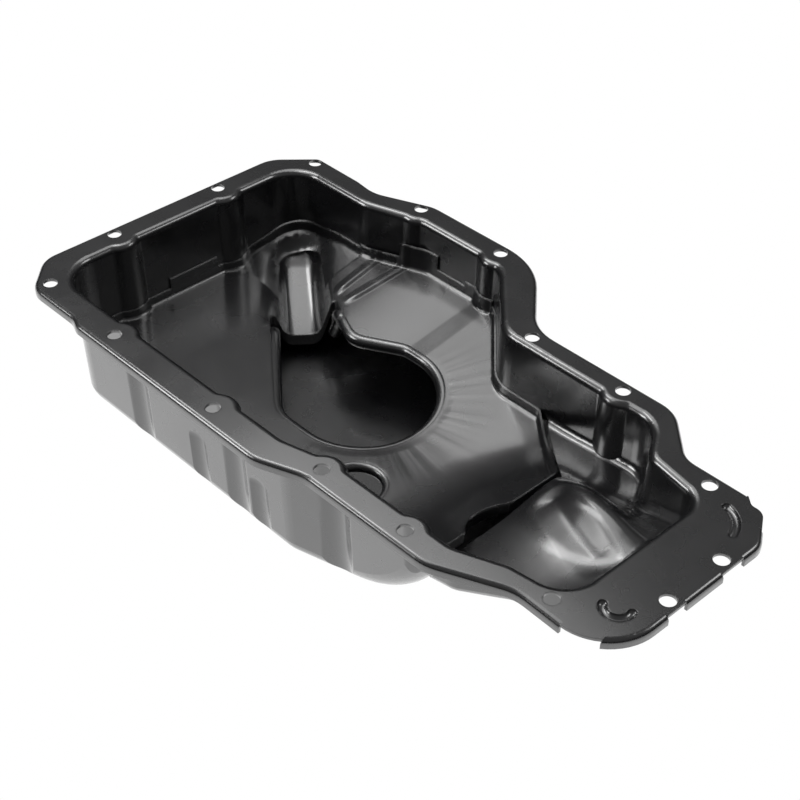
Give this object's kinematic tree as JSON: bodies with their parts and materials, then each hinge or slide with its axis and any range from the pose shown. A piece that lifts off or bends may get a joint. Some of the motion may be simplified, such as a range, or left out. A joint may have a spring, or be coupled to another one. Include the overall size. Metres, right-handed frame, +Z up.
{
  "type": "engine oil pan",
  "caption": "Drawn sheet steel engine oil pan with a deep sump, a shallow stepped end, a bolted flange with a turned-down lip, a welded oil baffle and a drain plug.",
  "frame": {"origin": "middle of the pan's overall outline seen from above, at the level of the sump's lowest face", "axes": "+X along the engine towards the narrow end, +Y across towards the far side where the drain is, +Z up through the mouth"},
  "size_m": [0.418, 0.223, 0.081],
  "materials": {
    "pan_coat": "satin black coat",
    "baffle_coat": "satin black coat",
    "boss_coat": "satin black coat",
    "washer_metal": "bare soft metal",
    "plug_steel": "zinc plated"
  },
  "bodies": {
    "root": {"pan_body": "pan_coat", "baffle_plate": "baffle_coat", "drain_boss": "boss_coat", "drain_washer": "washer_metal", "drain_plug": "plug_steel"}
  },
  "joints": []
}
